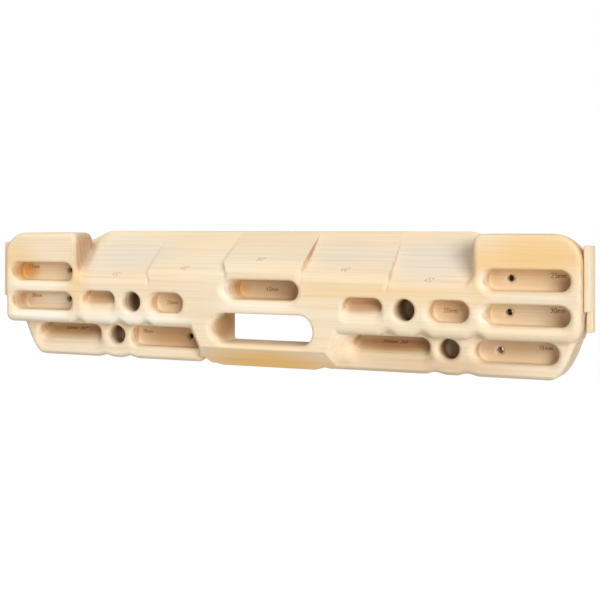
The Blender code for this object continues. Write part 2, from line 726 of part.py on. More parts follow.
def main():
    for thing in list(bpy.data.objects):
        bpy.data.objects.remove(thing, do_unlink=True)
    board_wood = wood("poplar", (0.74, 0.56, 0.35))
    end_wood = wood("pale_poplar", (0.80, 0.64, 0.44))
    dowel_wood = wood("beech", (0.62, 0.42, 0.25))
    outside = SEAT + RAIL_THICKNESS
    rail_depth = (RAIL_FRONT + RAIL_BACK) / 2
    batten_depth = (BATTEN_FRONT + BATTEN_BACK) / 2
    dowel_cutters = []
    for side, word in ((-1, "left"), (1, "right")):
        rail_cutters = dowel_cutters_for(f"{word}_rail_dowel_cutter", side, rail_depth)
        batten_cutters = dowel_cutters_for(f"{word}_batten_dowel_cutter", side, batten_depth)
        dowel_cutters += rail_cutters + batten_cutters
        for kind, depth in (("rail", rail_depth), ("batten", batten_depth)):
            for i, pin in enumerate(dowels(side, depth, DOWEL_DIAMETER / 2, 0.0)):
                new_object(f"{word}_{kind}_dowel_{i + 1}", pin, dowel_wood)
        end_piece(
            f"{word}_rail", side,
            (SEAT, RAIL_FRONT, RAIL_TOP - RAIL_LENGTH), (outside, RAIL_BACK, RAIL_TOP),
            RAIL_EDGE, end_wood, rail_cutters,
        )
        end_piece(
            f"{word}_batten", side,
            (SEAT, BATTEN_FRONT, RAIL_TOP - BATTEN_LENGTH - BATTEN_BELOW_RAIL),
            (outside, BATTEN_BACK, RAIL_TOP - BATTEN_BELOW_RAIL),
            BATTEN_EDGE, end_wood, batten_cutters,
        )
    build_staves(board_wood, dowel_cutters)


main()
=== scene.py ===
"""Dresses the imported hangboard: a milled board for its staves, end strips, marks, stage, light and camera."""
import math

import bmesh
import bpy
import numpy as np
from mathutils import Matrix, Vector


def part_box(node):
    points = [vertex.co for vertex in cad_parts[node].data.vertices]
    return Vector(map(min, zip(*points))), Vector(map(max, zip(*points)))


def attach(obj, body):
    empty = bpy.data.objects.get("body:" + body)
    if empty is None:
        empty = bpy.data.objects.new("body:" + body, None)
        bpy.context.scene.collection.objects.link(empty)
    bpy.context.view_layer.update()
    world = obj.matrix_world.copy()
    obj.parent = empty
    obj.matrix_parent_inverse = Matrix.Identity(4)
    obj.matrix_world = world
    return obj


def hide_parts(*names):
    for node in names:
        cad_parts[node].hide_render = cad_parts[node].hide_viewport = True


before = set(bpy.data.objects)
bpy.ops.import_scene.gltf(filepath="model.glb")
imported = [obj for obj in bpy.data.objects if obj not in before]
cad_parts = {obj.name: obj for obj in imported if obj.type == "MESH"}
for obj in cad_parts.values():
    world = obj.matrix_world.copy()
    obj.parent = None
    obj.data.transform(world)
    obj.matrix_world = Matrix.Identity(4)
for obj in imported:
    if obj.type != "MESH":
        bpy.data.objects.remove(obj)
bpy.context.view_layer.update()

# Shapes are worked out in millimetres: x along the board, d in from its front plane, z up from its middle.
MM = 0.001
THICKNESS = 58.0
HALF_LENGTH = 350.0
TOP = 75.0
BOTTOM = -75.0
RIDGE = 77.0

# Grid on which the board's surface is found, and how its points settle on the surface
PITCH = 1.25
MARGIN = 3.0
SLAB = 14
SETTLE_PARTS = 60
SETTLE_TURNS = 3
SETTLE_REACH = 0.6
PROBE = 0.05
LEAST_SLOPE = 0.2

# Upper part: corners, front edge and the lip's scalloped underside
FRONT_CORNER = 27.0
BACK_CORNER = 42.0
LEFT_LIP_CORNER = 9.0
RIGHT_LIP_CORNER = 16.0
FRONT_EDGE = 5.5
LIP_EDGE = 8.0
LIP_EDGE_START = 10.0
LIP_EDGE_FADE = 20.0
BACK_EDGE = 1.0
UNDERSIDE = -33.0
SCALLOP_RISE = 4.5
SCALLOP_WIDTH = 26.0

# Slopes, which all reach the ridge at the hinge's depth, and the steps between them
HINGE = 56.0
STEP_1 = 49.0
STEP_2 = 148.0
DROPS = (35.5, 47.0, 56.0)
STEP_EDGE = 0.5
STEP_BLEND = 2.0
SLOPE_RADIUS = 20.0
OUTER_SLOPE_RADIUS = 9.0
HARD_REACH = 2.2
HARD_GAP = 0.9
HARD_FRONT = 3.0
HARD_BACK = 1.0
FOOT_REACH = 2.6
FOOT_DEPTH = 26.0
FOOT_HEIGHT = 22.0
FOOT_UPRIGHT = 0.35

# End blocks, whose inner walls flare towards the back
BLOCK_WALL = 243.0
BLOCK_SHIFT = -3.0
BLOCK_CORNER = 9.0
BLOCK_RADIUS = 6.0
BLOCK_BLEND_START = 5.0
BLOCK_BLEND = 8.0
RIDGE_BLEND_START = 12.0
RIDGE_BLEND = 10.0
COVE = 10.0
LEAST_COVE = 0.5
FLARE_START = 31.0
FLARE_LENGTH = 25.0
FLARE_REACH = 18.0
FLARE_POWER = 1.5
FLARE_STEEPNESS = 1.17
DIP = 11.0
DIP_POWER = 3

# Lower rows, set back behind the lip. Each end's curve has a start, a climb, a power and a highest point.
SETBACK = 15.0
ROW_BOTTOM = -73.0
ROW_LIP = 6.0
ROW_BLEND = 4.0
NOTCH_RISE = 3.0
NOTCH_WIDTH = 26.0
LEFT_END = (310.0, 40.8, 1.75, -31.0)
RIGHT_END = (312.0, 35.75, 2.2, 6.0)
END_RUN = 28.0
END_SLANT = 6.0
STEEP_PROBE = 0.25
UNDERCUT = 7.0
UNDERCUT_START = 27.0
UNDERCUT_END = 300.0
UNDERCUT_FADE = 20.0
UNDERLIP_SHARE = 0.2
OVERLAP = 12.0

# Middle bulge, which narrows downwards and has a chamfer along its foot
BULGE_WIDTH = 173.0
BULGE_NARROWING = 40.0
BULGE_CORNER = 12.0
BULGE_EDGE = 2.5
BULGE_LIP = 2.0
BULGE_STRETCH = 0.3
BULGE_FADE_START = 22.0
BULGE_FADE = 16.0
BULGE_FOOT = 58.0
BULGE_FOOT_FADE = 10.0
BULGE_NOTCHES = ((-80.0, 7.0, 20.0), (66.0, 2.0, 22.0))
CHAMFER_DEPTH = 20.0
CHAMFER_HEIGHT = 22.0
CHAMFER_BLEND = 0.8

# Holds
UPPER_ROW_TOP = 6.5
LOWER_ROW_TOP = -34.0
HOLD_HEIGHT = 23.5
UPPER_MONO = 22.5
LOWER_MONO = 21.5
LOWER_MONO_INSET = 0.5
END_POCKET_LENGTH = 88.0
END_POCKET_HEIGHT = 22.3
END_POCKET_SCREW_RISE = 1.2
TOP_LIP = 2.5
MOST_ROUNDED = 0.98
HOLD_MARGIN = 20.0
SLOT_PAST_BACK = 20.0
TAPER_START = 6.0
TAPER_LENGTH = 40.0
SCREW_RADIUS = 3.5
COUNTERSINK_DEPTH = 2.5
COUNTERSINK_SPREAD = 1.0
BORE_START = 4.0


def rounding(inset, radius):
    """How far a rounded edge has fallen back at a distance inside the edge."""
    inner = np.clip(radius - inset, 0.0, radius)
    return radius - np.sqrt(radius * radius - inner * inner)


def smooth(t):
    """0 to 1 with soft ends."""
    t = np.clip(t, 0.0, 1.0)
    return t * t * (3.0 - 2.0 * t)


def bump(distance, width):
    """1 in its middle, and 0 from half a width away."""
    return 1.0 - smooth(np.abs(distance) / (width / 2))


def fillet_max(a, b, radius, cosine=0.0):
    """Where both solids are, with their common edge rounded. cosine is that between their normals."""
    p = a + radius
    q = b + radius
    bent = np.sqrt(np.maximum(p * p + q * q - 2.0 * cosine * p * q, 0.0) / (1.0 - cosine * cosine)) - radius
    return np.where((p > cosine * q) & (q > cosine * p), bent, np.maximum(a, b))


def fillet_min(a, b, radius):
    """Where either solid is, with their common corner filled."""
    return -fillet_max(-a, -b, radius)


def blend_low(a, b, width):
    """The lower of two values, blended over a width."""
    t = np.clip(0.5 + 0.5 * (b - a) / width, 0.0, 1.0)
    return b + (a - b) * t - width * t * (1.0 - t)


def blend_high(a, b, width):
    return -blend_low(-a, -b, width)


def half_width(z):
    """Half the width of the middle bulge at a height."""
    straight = BULGE_WIDTH - BULGE_NARROWING * (UNDERSIDE - z) / (UNDERSIDE - BOTTOM)
    return straight / 2 - rounding(z - BOTTOM, BULGE_CORNER)


class Hold:
    """A cavity milled into the board from the front."""

    def __init__(self, middle, length, top, height, depth, start=0.0, angle=0.0, corner=None,
                 back_corner=None, screw=None, screw_rise=0.0, slant=None, left_lip=6.0, right_lip=5.0,
                 bottom_lip=6.0, floor_radius=3.0):
        self.left = middle - length / 2
        self.right = middle + length / 2
        self.top = top
        self.bottom = top - height
        self.floor = start + depth
        self.start = start
        self.rise = math.tan(math.radians(angle))
        self.corner = height / 2 if corner is None else corner
        self.back_corner = back_corner
        self.screw = screw
        self.screw_rise = screw_rise
        self.slant = slant
        self.left_lip = left_lip
        self.right_lip = right_lip
        self.bottom_lip = bottom_lip
        self.floor_radius = floor_radius

    def reach(self):
        return self.left - HOLD_MARGIN, self.right + HOLD_MARGIN

    def field(self, x, d, z):
        """Negative inside the cavity. With a slant, its right end follows the bulge's flank."""
        bottom = self.bottom + self.rise * np.clip(d - self.start, 0.0, self.floor - self.start)
        half = (self.top - bottom) / 2
        corner = np.minimum(self.corner, MOST_ROUNDED * half)
        if self.back_corner is not None:
            corner = corner - (corner - self.back_corner) * smooth((d - TAPER_START) / TAPER_LENGTH)
        left, right = self.left, self.right
        if self.slant is not None:
            right = -half_width(z) - self.slant
        across = np.maximum(x - right, left - x) + corner
        upright = np.abs(z - (self.top + bottom) / 2) - half + corner
        outside = np.hypot(np.maximum(across, 0.0), np.maximum(upright, 0.0))
        outline = outside + np.minimum(np.maximum(across, upright), 0.0) - corner
        cavity = fillet_max(outline, d - self.floor, self.floor_radius)
        if self.screw is None:
            return cavity
        sunk = np.clip(COUNTERSINK_DEPTH - (d - self.floor), 0.0, COUNTERSINK_DEPTH)
        bore = np.hypot(x - self.screw, z - self.screw_height()) - SCREW_RADIUS - sunk * COUNTERSINK_SPREAD
        return np.minimum(cavity, np.maximum(bore, self.floor - BORE_START - d))

    def slope_height(self, d):
        return self.bottom + self.rise * (d - self.start)

    def screw_height(self):
        return (self.top + self.bottom) / 2 + self.screw_rise

    def lip(self, x, z):
        """Radius of the rounded lip, which changes along the hold and is small above it."""
        t = np.clip((z - (self.top + self.bottom) / 2) / ((self.top - self.bottom) / 2), -1.0, 1.0)
        share = smooth((x - self.left) / (self.right - self.left))
        side = self.left_lip + (self.right_lip - self.left_lip) * share
        return side + np.where(t > 0, TOP_LIP - side, self.bottom_lip - side) * t * t


def upper(middle, length, depth, **more):
    return Hold(middle, length, UPPER_ROW_TOP, HOLD_HEIGHT, depth, **more)


def lower(middle, length, depth, **more):
    return Hold(middle, length, LOWER_ROW_TOP, HOLD_HEIGHT, depth, start=SETBACK, **more)


def lower_mono(middle):
    return Hold(middle, LOWER_MONO, LOWER_ROW_TOP - LOWER_MONO_INSET, LOWER_MONO, 30.0, start=SETBACK)


def end_pocket(middle, left_lip, top, depth, screw):
    return Hold(middle, END_POCKET_LENGTH, top, END_POCKET_HEIGHT, depth, screw=screw,
                screw_rise=END_POCKET_SCREW_RISE, left_lip=left_lip, right_lip=5.0, bottom_lip=8.5)


UPPER_ROW = [
    upper(-214.5, 43.0, 19.0, angle=45.0, corner=9.0, left_lip=5.0, bottom_lip=8.0, floor_radius=1.0),
    upper(-169.0, UPPER_MONO, 40.0),
    upper(-122.5, 43.0, 20.0, left_lip=9.0, bottom_lip=8.0),
    upper(118.5, 44.0, 19.0, angle=45.0, corner=9.0, left_lip=5.0, bottom_lip=8.0, floor_radius=1.0),
    upper(165.5, UPPER_MONO, 40.0),
    upper(213.8, 43.0, 20.0, left_lip=9.0, bottom_lip=8.0),
]
LOWER_ROW = [
    lower(-265.8, 89.0, 30.0, angle=30.0, corner=9.0, bottom_lip=12.0, floor_radius=1.0),
    lower_mono(-198.7),
    lower(-132.4, 90.0, 18.0, screw=-108.8, corner=8.0, right_lip=3.0, slant=6.0),
    lower(145.0, 88.0, 30.0, angle=30.0, corner=9.0, left_lip=14.0, bottom_lip=12.0, floor_radius=1.0),
    lower_mono(209.9),
    lower(280.8, 86.0, 18.0, screw=259.5, left_lip=9.0),
]
END_POCKETS = [
    end_pocket(-296.2, 5.0, 39.3, 25.0, -273.0),
    end_pocket(-296.2, 5.0, 4.0, 30.0, -277.4),
    end_pocket(294.5, 10.0, 39.3, 25.0, 273.0),
    end_pocket(294.5, 10.0, 4.0, 30.0, 270.0),
]
CENTRE_POCKET = Hold(-1.0, 88.5, 23.4, 22.6, 40.0, left_lip=12.0, right_lip=6.0, bottom_lip=8.0)
SLOT = Hold(-0.5, 122.5, -14.4, 34.0, THICKNESS + SLOT_PAST_BACK, corner=16.0, back_corner=3.0,
            left_lip=9.0, right_lip=4.0)
HOLDS = UPPER_ROW + LOWER_ROW + END_POCKETS + [CENTRE_POCKET, SLOT]


def near(low, high):
    """The holds that reach into a stretch of the board."""
    return [hold for hold in HOLDS if hold.reach()[0] < high and hold.reach()[1] > low]


def gaps_between(holds):
    """Places of the gaps between neighbouring holds on the same half."""
    row = sorted(holds, key=lambda hold: hold.left)
    pairs = [(a, b) for a, b in zip(row, row[1:]) if a.right * b.left > 0]
    return [(a.right + b.left) / 2 for a, b in pairs]


SCALLOPS = gaps_between(UPPER_ROW + END_POCKETS[1::2])
NOTCHES = gaps_between(LOWER_ROW)


def underside(x):
    """Height of the lip's scalloped underside."""
    return UNDERSIDE + SCALLOP_RISE * sum(bump(x - place, SCALLOP_WIDTH) for place in SCALLOPS)


def bottom_edge(x, d):
    """Lower outline behind the lip, and how steep it is. The left end slants in towards the front."""
    fade = 1.0 - np.clip((d - SETBACK) / (THICKNESS - SETBACK), 0.0, 1.0)
    slant = np.where(x < 0, END_SLANT, 0.0) * fade

    def height(x):
        ax = np.abs(x)
        start, climb, power, highest = [np.where(x < 0, *pair) for pair in zip(LEFT_END, RIGHT_END)]
        share = np.maximum(ax + slant - start, 0.0) / END_RUN
        base = BOTTOM + (ROW_BOTTOM - BOTTOM) * smooth((ax - BULGE_FOOT) / BULGE_FOOT_FADE)
        notches = NOTCH_RISE * sum(bump(x - place, NOTCH_WIDTH) for place in NOTCHES)
        for place, rise, width in BULGE_NOTCHES:
            notches = notches + rise * bump(x - place, width)
        return np.minimum(base + climb * share ** power + notches, highest)
    steep = (height(x + STEEP_PROBE) - height(x - STEEP_PROBE)) / (2 * STEEP_PROBE)
    return height(x), np.sqrt(1.0 + steep * steep)


def top_field(x, d, z):
    """The sloping top and the end blocks, from above."""
    ax = np.abs(x)
    bx = np.abs(x - BLOCK_SHIFT)
    back = 1.0 - np.minimum(d, HINGE) / HINGE
    planes = []
    for drop in DROPS:
        height = RIDGE - (drop + RIDGE - TOP) * back
        if drop == DROPS[-1]:
            dip = DIP * smooth((bx - BLOCK_WALL + FLARE_REACH) / (2 * FLARE_REACH))
            height = height - dip * (1.0 - back) ** DIP_POWER
        planes.append((z - height) * math.cos(math.atan2(drop, HINGE)))
    first = fillet_max(planes[0], ax - STEP_1, STEP_EDGE)
    second = fillet_max(planes[1], ax - STEP_2, STEP_EDGE)
    slopes = fillet_min(first, second, STEP_EDGE * back)
    slopes = fillet_min(slopes, planes[2], STEP_EDGE * back)
    t = np.clip((d - FLARE_START) / FLARE_LENGTH, 0.0, 1.0)
    wall = BLOCK_WALL + FLARE_REACH * t ** FLARE_POWER
    block = fillet_max((wall - bx) / np.sqrt(1.0 + FLARE_STEEPNESS * t), z - TOP, BLOCK_CORNER)
    return np.maximum(fillet_min(slopes, block, COVE * back + LEAST_COVE), z - RIDGE)


def front_edge(ax, bx):
    """Radius of the edge between the top and the front plane, and the cosine between them."""
    first = smooth((ax - STEP_1 + STEP_BLEND / 2) / STEP_BLEND)
    outer = smooth((ax - STEP_2 + STEP_BLEND / 2) / STEP_BLEND)
    block = smooth((bx - BLOCK_WALL + BLOCK_BLEND_START) / BLOCK_BLEND)
    radius = SLOPE_RADIUS + (OUTER_SLOPE_RADIUS - SLOPE_RADIUS) * outer
    radius = radius + (BLOCK_RADIUS - OUTER_SLOPE_RADIUS) * block
    sines = [drop / math.hypot(drop, HINGE) for drop in DROPS]
    cosine = sines[0] + (sines[1] - sines[0]) * first + (sines[2] - sines[1]) * outer
    return radius, cosine * (1.0 - block)


def lower_front(ax, z):
    """Depth of the front below the lip: the middle bulge with its flanks and chamfer, and the lower row."""
    side = blend_high(ax - half_width(z), np.zeros_like(ax + z), BULGE_EDGE)
    row = blend_low(side, np.full_like(side, SETBACK), ROW_BLEND)
    chamfer = CHAMFER_DEPTH * (1.0 - (z - BOTTOM) / CHAMFER_HEIGHT)
    return blend_high(row, np.minimum(chamfer, CHAMFER_DEPTH), CHAMFER_BLEND)


def board_field(x, d, z, holds):
    """Negative inside the board. Roughly a distance in millimetres near its surface."""
    ax = np.abs(x)
    bx = np.abs(x - BLOCK_SHIFT)
    ends = ax - HALF_LENGTH

    block_share = smooth((bx - BLOCK_WALL + RIDGE_BLEND_START) / RIDGE_BLEND)
    corner = FRONT_CORNER + (BACK_CORNER - FRONT_CORNER) * d / THICKNESS
    outline = fillet_max(ends, z - RIDGE + (RIDGE - TOP) * block_share, corner)
    lip_corner = np.where(x < 0, LEFT_LIP_CORNER, RIGHT_LIP_CORNER)
    outline = fillet_max(outline, underside(x) - z, lip_corner)
    edge = FRONT_EDGE + (LIP_EDGE - FRONT_EDGE) * smooth((LIP_EDGE_START - z) / LIP_EDGE_FADE)
    front = fillet_max(outline, -d, edge)
    radius, cosine = front_edge(ax, bx)
    front = np.maximum(front, fillet_max(top_field(x, d, z), -d, radius, cosine))

    height, steep = bottom_edge(x, d)
    low = lower_front(ax, z)
    bulge = smooth((half_width(z) + BULGE_FADE_START - ax) / BULGE_FADE)
    reach = np.clip((d - UNDERCUT_START) / (THICKNESS - UNDERCUT_START), 0.0, 1.0)
    undercut = UNDERCUT * (1.0 - bulge) * smooth((UNDERCUT_END - ax) / UNDERCUT_FADE) * reach
    behind = np.maximum((height + undercut - z) / steep, ends)
    lip = ROW_LIP + (BULGE_LIP - ROW_LIP) * bulge
    lower_part = fillet_max(behind, (low - d) / (1.0 + BULGE_STRETCH * bulge), lip)
    lower_part = np.maximum(lower_part, z - UNDERSIDE - OVERLAP)

    upper_part = np.maximum(front, np.minimum(d - SETBACK, behind))
    board = fillet_min(upper_part, lower_part, UNDERLIP_SHARE * np.clip(low, 0.0, SETBACK))
    for hold in holds:
        board = fillet_max(board, -hold.field(x, d, z), hold.lip(x, z))
    return fillet_max(board, d - THICKNESS, BACK_EDGE)


def sample_board():
    """The field on a grid, slab by slab along the board."""
    axes = [
        np.arange(-half - MARGIN, half + MARGIN + PITCH, PITCH, dtype=np.float32) + middle
        for half, middle in (
            (HALF_LENGTH, 0.0), (THICKNESS / 2, THICKNESS / 2), ((RIDGE - BOTTOM) / 2, (RIDGE + BOTTOM) / 2)
        )
    ]
    xs, ds, zs = axes
    values = np.empty((len(xs), len(ds), len(zs)), np.float32)
    for start in range(0, len(xs), SLAB):
        x = xs[start:start + SLAB]
        values[start:start + SLAB] = board_field(
            x[:, None, None], ds[None, :, None], zs[None, None, :], near(x[0], x[-1])
        )
    return axes, values


CORNERS = [(i, j, k) for i in (0, 1) for j in (0, 1) for k in (0, 1)]


def surface_net(axes, values):
    """A mesh of four-sided faces around the grid's negative points."""
    inside = values < 0
    shape = tuple(n - 1 for n in values.shape)
    count = np.zeros(shape, np.int8)
    for i, j, k in CORNERS:
        count += inside[i:i + shape[0], j:j + shape[1], k:k + shape[2]]
    active = (count > 0) & (count < len(CORNERS))
    cells = np.argwhere(active)
    index = np.full(shape, -1, np.int32)
    index[active] = np.arange(len(cells))
    total = np.zeros((len(cells), 3))
    hits = np.zeros(len(cells))
    for axis in range(3):
        for corner in CORNERS:
            if corner[axis]:
                continue
            start = cells + corner
            end = start.copy()
            end[:, axis] += 1
            a = values[tuple(start.T)].astype(float)
            b = values[tuple(end.T)].astype(float)
            crossed = (a < 0) != (b < 0)
            points = start.astype(float)
            points[:, axis] += np.where(crossed, a / np.where(crossed, a - b, 1.0), 0.0)
            total[crossed] += points[crossed]
            hits += crossed
    verts = total / hits[:, None] * PITCH + np.array([a[0] for a in axes])
    quads = []
    for axis in range(3):
        u, v = [other for other in range(3) if other != axis]
        here = [slice(1, -1)] * 3
        here[axis] = slice(0, -1)
        there = list(here)
        there[axis] = slice(1, None)
        first = inside[tuple(here)]
        changed = first != inside[tuple(there)]
        places = np.argwhere(changed)
        places[:, u] += 1
        places[:, v] += 1
        ring = []
        for du, dv in ((-1, -1), (0, -1), (0, 0), (-1, 0)):
            cell = places.copy()
            cell[:, u] += du
            cell[:, v] += dv
            ring.append(index[tuple(cell.T)])
        faces = np.stack(ring, axis=1)
        flip = first[changed] if axis == 1 else ~first[changed]
        faces[flip] = faces[flip][:, ::-1]
        quads.append(faces)
    return verts, np.concatenate(quads)


def settle(verts):
    """Moves each vertex onto the surface, and gives the normals there."""
    normals = np.empty_like(verts)
    order = np.argsort(verts[:, 0], kind="stable")
    for part in np.array_split(order, SETTLE_PARTS):
        p = verts[part].copy()
        holds = near(p[:, 0].min(), p[:, 0].max())
        for turn in range(SETTLE_TURNS):
            value = board_field(p[:, 0], p[:, 1], p[:, 2], holds)
            gradient = np.empty_like(p)
            for axis in range(3):
                q = p.copy()
                q[:, axis] += PROBE
                gradient[:, axis] = (board_field(q[:, 0], q[:, 1], q[:, 2], holds) - value) / PROBE
            size = np.maximum(np.linalg.norm(gradient, axis=1), LEAST_SLOPE)
            if turn < SETTLE_TURNS - 1:
                move = np.clip(value / size, -SETTLE_REACH * PITCH, SETTLE_REACH * PITCH)
                p -= gradient / size[:, None] * move[:, None]
        verts[part] = p
        normals[part] = gradient / size[:, None]
    harden(verts, normals)
    return normals


def harden(verts, normals):
    """Keeps the slopes' own normals up to their steps. In front, the left steps turn none sideways."""
    x, d, z = verts.T
    back = 1.0 - np.minimum(d, HINGE) / HINGE
    for place, inner, outer in ((-STEP_1, 0, 1), (-STEP_2, 1, 2), (STEP_2, 1, 2)):
        aside = np.abs(x - place)
        for drop in (DROPS[inner], DROPS[outer]):
            fall = drop + RIDGE - TOP
            away = (z - RIDGE + fall * back) * math.cos(math.atan2(fall, HINGE))
            slope = (aside < HARD_REACH) & (np.abs(away) < HARD_GAP)
            slope &= (d > HARD_FRONT) & (d < HINGE - HARD_BACK)
            normals[slope] = np.array((0.0, -fall, HINGE)) / math.hypot(fall, HINGE)
        if place > 0.0:
            continue
        upright = np.linalg.norm(normals[:, 1:], axis=1)
        foot = (aside < FOOT_REACH) & (d < FOOT_DEPTH) & (z > FOOT_HEIGHT) & (upright > FOOT_UPRIGHT)
        normals[foot] = np.column_stack((np.zeros(foot.sum()), normals[foot, 1:] / upright[foot, None]))


def to_metres(points):
    """Millimetres with the depth from the front plane, as metres in the frame."""
    out = np.array(points, float)
    out[..., 1] -= THICKNESS
    return out * MM


def place_mesh(name, mesh, material):
    mesh.materials.append(material)
    thing = bpy.data.objects.new(name, mesh)
    bpy.context.scene.collection.objects.link(thing)
    return thing


def quad_mesh(name, verts, quads, material):
    mesh = bpy.data.meshes.new(name)
    mesh.vertices.add(len(verts))
    mesh.vertices.foreach_set("co", verts.astype(np.float32).ravel())
    mesh.loops.add(quads.size)
    mesh.loops.foreach_set("vertex_index", quads.astype(np.int32).ravel())
    mesh.polygons.add(len(quads))
    mesh.polygons.foreach_set("loop_start", np.arange(0, quads.size, 4, dtype=np.int32))
    mesh.polygons.foreach_set("use_smooth", np.ones(len(quads), bool))
    mesh.update(calc_edges=True)
    return place_mesh(name, mesh, material)


# Materials


class Nodes:
    """Short calls for building one material."""

    def __init__(self, name):
        self.material = bpy.data.materials.new(name)
        self.material.use_nodes = True
        self.tree = self.material.node_tree
        self.shader = self.tree.nodes["Principled BSDF"]

    def add(self, kind, inputs=(), **settings):
        node = self.tree.nodes.new("ShaderNode" + kind)
        for key, value in settings.items():
            setattr(node, key, value)
        for key, value in dict(inputs).items():
            self.feed(value, node.inputs[key])
        return node

    def feed(self, value, socket):
        if isinstance(value, bpy.types.NodeSocket):
            self.tree.links.new(value, socket)
        else:
            socket.default_value = value

    def math(self, operation, a, b=0.0, c=0.0):
        return self.add("Math", {0: a, 1: b, 2: c}, operation=operation).outputs[0]

    def vector(self, operation, a, b):
        return self.add("VectorMath", {0: a, 1: b}, operation=operation).outputs[0]

    def noise(self, vector, scale=1.0, detail=2.0, rough=0.5):
        node = self.add("TexNoise", {"Vector": vector, "Scale": scale, "Detail": detail, "Roughness": rough})
        return node.outputs["Fac"]

    def ramp(self, factor, stops):
        node = self.add("ValToRGB", {"Fac": factor})
        ramp = node.color_ramp
        while len(ramp.elements) < len(stops):
            ramp.elements.new(0.5)
        for element, (place, value) in zip(ramp.elements, stops):
            element.position = place
            element.color = (value, value, value, 1.0)
        return node.outputs["Color"]

    def mix(self, factor, a, b):
        # A Mix node has its colours at the sockets 6 and 7, and their mixture at 2
        node = self.add("Mix", data_type="RGBA")
        self.feed(factor, node.inputs[0])
        self.feed(a, node.inputs[6])
        self.feed(b, node.inputs[7])
        return node.outputs[2]


def srgb(red, green, blue):
    """A colour given as it looks, 0 to 255."""
    def linear(v):
        v = v / 255.0
        return v / 12.92 if v <= 0.04045 else ((v + 0.055) / 1.055) ** 2.4
    return (linear(red), linear(green), linear(blue), 1.0)


def patch(n, raw, colour, centre, reach, tint, most, inner, outer):
    """The colour with a soft ellipsoid of another tone in it."""
    away = n.vector("DIVIDE", n.vector("SUBTRACT", raw, centre), reach)
    away = n.add("VectorMath", {0: away}, operation="LENGTH").outputs["Value"]
    limits = {"From Min": inner, "From Max": outer, "To Min": most, "To Max": 0.0}
    share = n.add("MapRange", {"Value": away, **limits}, interpolation_type="SMOOTHSTEP")
    return n.mix(share.outputs[0], colour, tint)


# Shares and strengths of what the timber shows, with its rings' sway and ripple in metres
RING_IN_DEPTH = 0.92
RING_IN_HEIGHT = 0.30
RING_SWAY = 0.030
RING_RIPPLE = 0.0035
RING_LINE = 0.09
RING_LINE_AT_END = 0.40
RING_RELIEF = 0.35
WARM_SHARE = 0.55
END_SHARE = 0.25
FIBRE_SHARE = 0.13
SPECULAR = 0.15
SMOOTHEST = 0.58
ROUGHER = 0.18


def wood(name, pale, warm, deep, end_colour, zones=(), bore_shade=(), offset=(0.0, 0.0, 0.0), ring=0.0068,
         upright=False):
    """Pale timber with its fibres along X, or upright. Its growth rings lie nearly parallel to the front."""
    n = Nodes(name)
    raw = n.add("TexCoord").outputs["Object"]
    place = n.vector("ADD", raw, offset)
    split = n.add("SeparateXYZ", {0: place}).outputs
    facing = n.add("SeparateXYZ", {0: n.add("NewGeometry").outputs["Normal"]}).outputs
    if upright:
        place = n.add("CombineXYZ", {0: split[2], 1: split[1], 2: split[0]}).outputs[0]
        split = [split[2], split[1], split[0]]

    def stretched(scale, detail, rough):
        return n.noise(n.vector("MULTIPLY", place, scale), 1.0, detail, rough)

    end = n.ramp(n.math("ABSOLUTE", facing[2 if upright else 0]), [(0.72, 0.0), (0.97, 1.0)])
    sway = stretched((1.5, 9.0, 9.0), 2.0, 0.4)
    ripple = stretched((7.0, 70.0, 70.0), 2.0, 0.5)
    depth = n.math("MULTIPLY_ADD", split[2], RING_IN_HEIGHT, n.math("MULTIPLY", split[1], RING_IN_DEPTH))
    depth = n.math("MULTIPLY_ADD", n.math("SUBTRACT", sway, 0.5), RING_SWAY, depth)
    depth = n.math("MULTIPLY_ADD", n.math("SUBTRACT", ripple, 0.5), RING_RIPPLE, depth)
    rings = n.math("FRACT", n.math("DIVIDE", depth, ring))
    late = n.ramp(rings, [(0.0, 0.35), (0.18, 0.0), (0.50, 0.10), (0.84, 1.0), (0.92, 0.9), (1.0, 0.35)])
    fibre = stretched((6.0, 620.0, 620.0), 3.0, 0.6)
    streak = stretched((3.0, 130.0, 130.0), 2.0, 0.55)
    cloud = stretched((6.0, 18.0, 30.0), 2.0, 0.5)

    colour = n.mix(n.math("MULTIPLY", n.ramp(cloud, [(0.36, 0.0), (0.68, 1.0)]), WARM_SHARE), pale, warm)
    for spot in zones:
        colour = patch(n, raw, colour, *spot)
    broken = n.ramp(streak, [(0.32, 0.10), (0.68, 1.0)])
    line = n.math("MULTIPLY_ADD", end, RING_LINE_AT_END, RING_LINE)
    colour = n.mix(n.math("MULTIPLY", end, END_SHARE), colour, end_colour)
    colour = n.mix(n.math("MULTIPLY", n.math("MULTIPLY", late, broken), line), colour, deep)
    fine = n.ramp(fibre, [(0.34, 1.0), (0.54, 0.0)])
    colour = n.mix(n.math("MULTIPLY", fine, FIBRE_SHARE), colour, deep)
    # Painted shade in the screw holes, laid over everything else
    for spot in bore_shade:
        colour = patch(n, raw, colour, *spot)
    n.feed(colour, n.shader.inputs["Base Color"])

    n.feed(n.math("MULTIPLY_ADD", fibre, ROUGHER, SMOOTHEST), n.shader.inputs["Roughness"])
    n.shader.inputs["Specular IOR Level"].default_value = SPECULAR
    height = n.math("MULTIPLY_ADD", late, RING_RELIEF, fibre)
    grain = n.add("Bump", {"Height": height, "Strength": 0.10, "Distance": 0.0003})
    n.feed(grain.outputs["Normal"], n.shader.inputs["Normal"])
    return n.material


def plain(name, colour):
    """A dull material whose tone varies a little from place to place."""
    n = Nodes(name)
    tone = n.noise(n.add("TexCoord").outputs["Object"], 900.0)
    darker = tuple(0.6 * v for v in colour[:3]) + (1.0,)
    n.feed(n.mix(n.math("MULTIPLY", tone, 0.5), colour, darker), n.shader.inputs["Base Color"])
    n.shader.inputs["Roughness"].default_value = 0.8
    return n.material


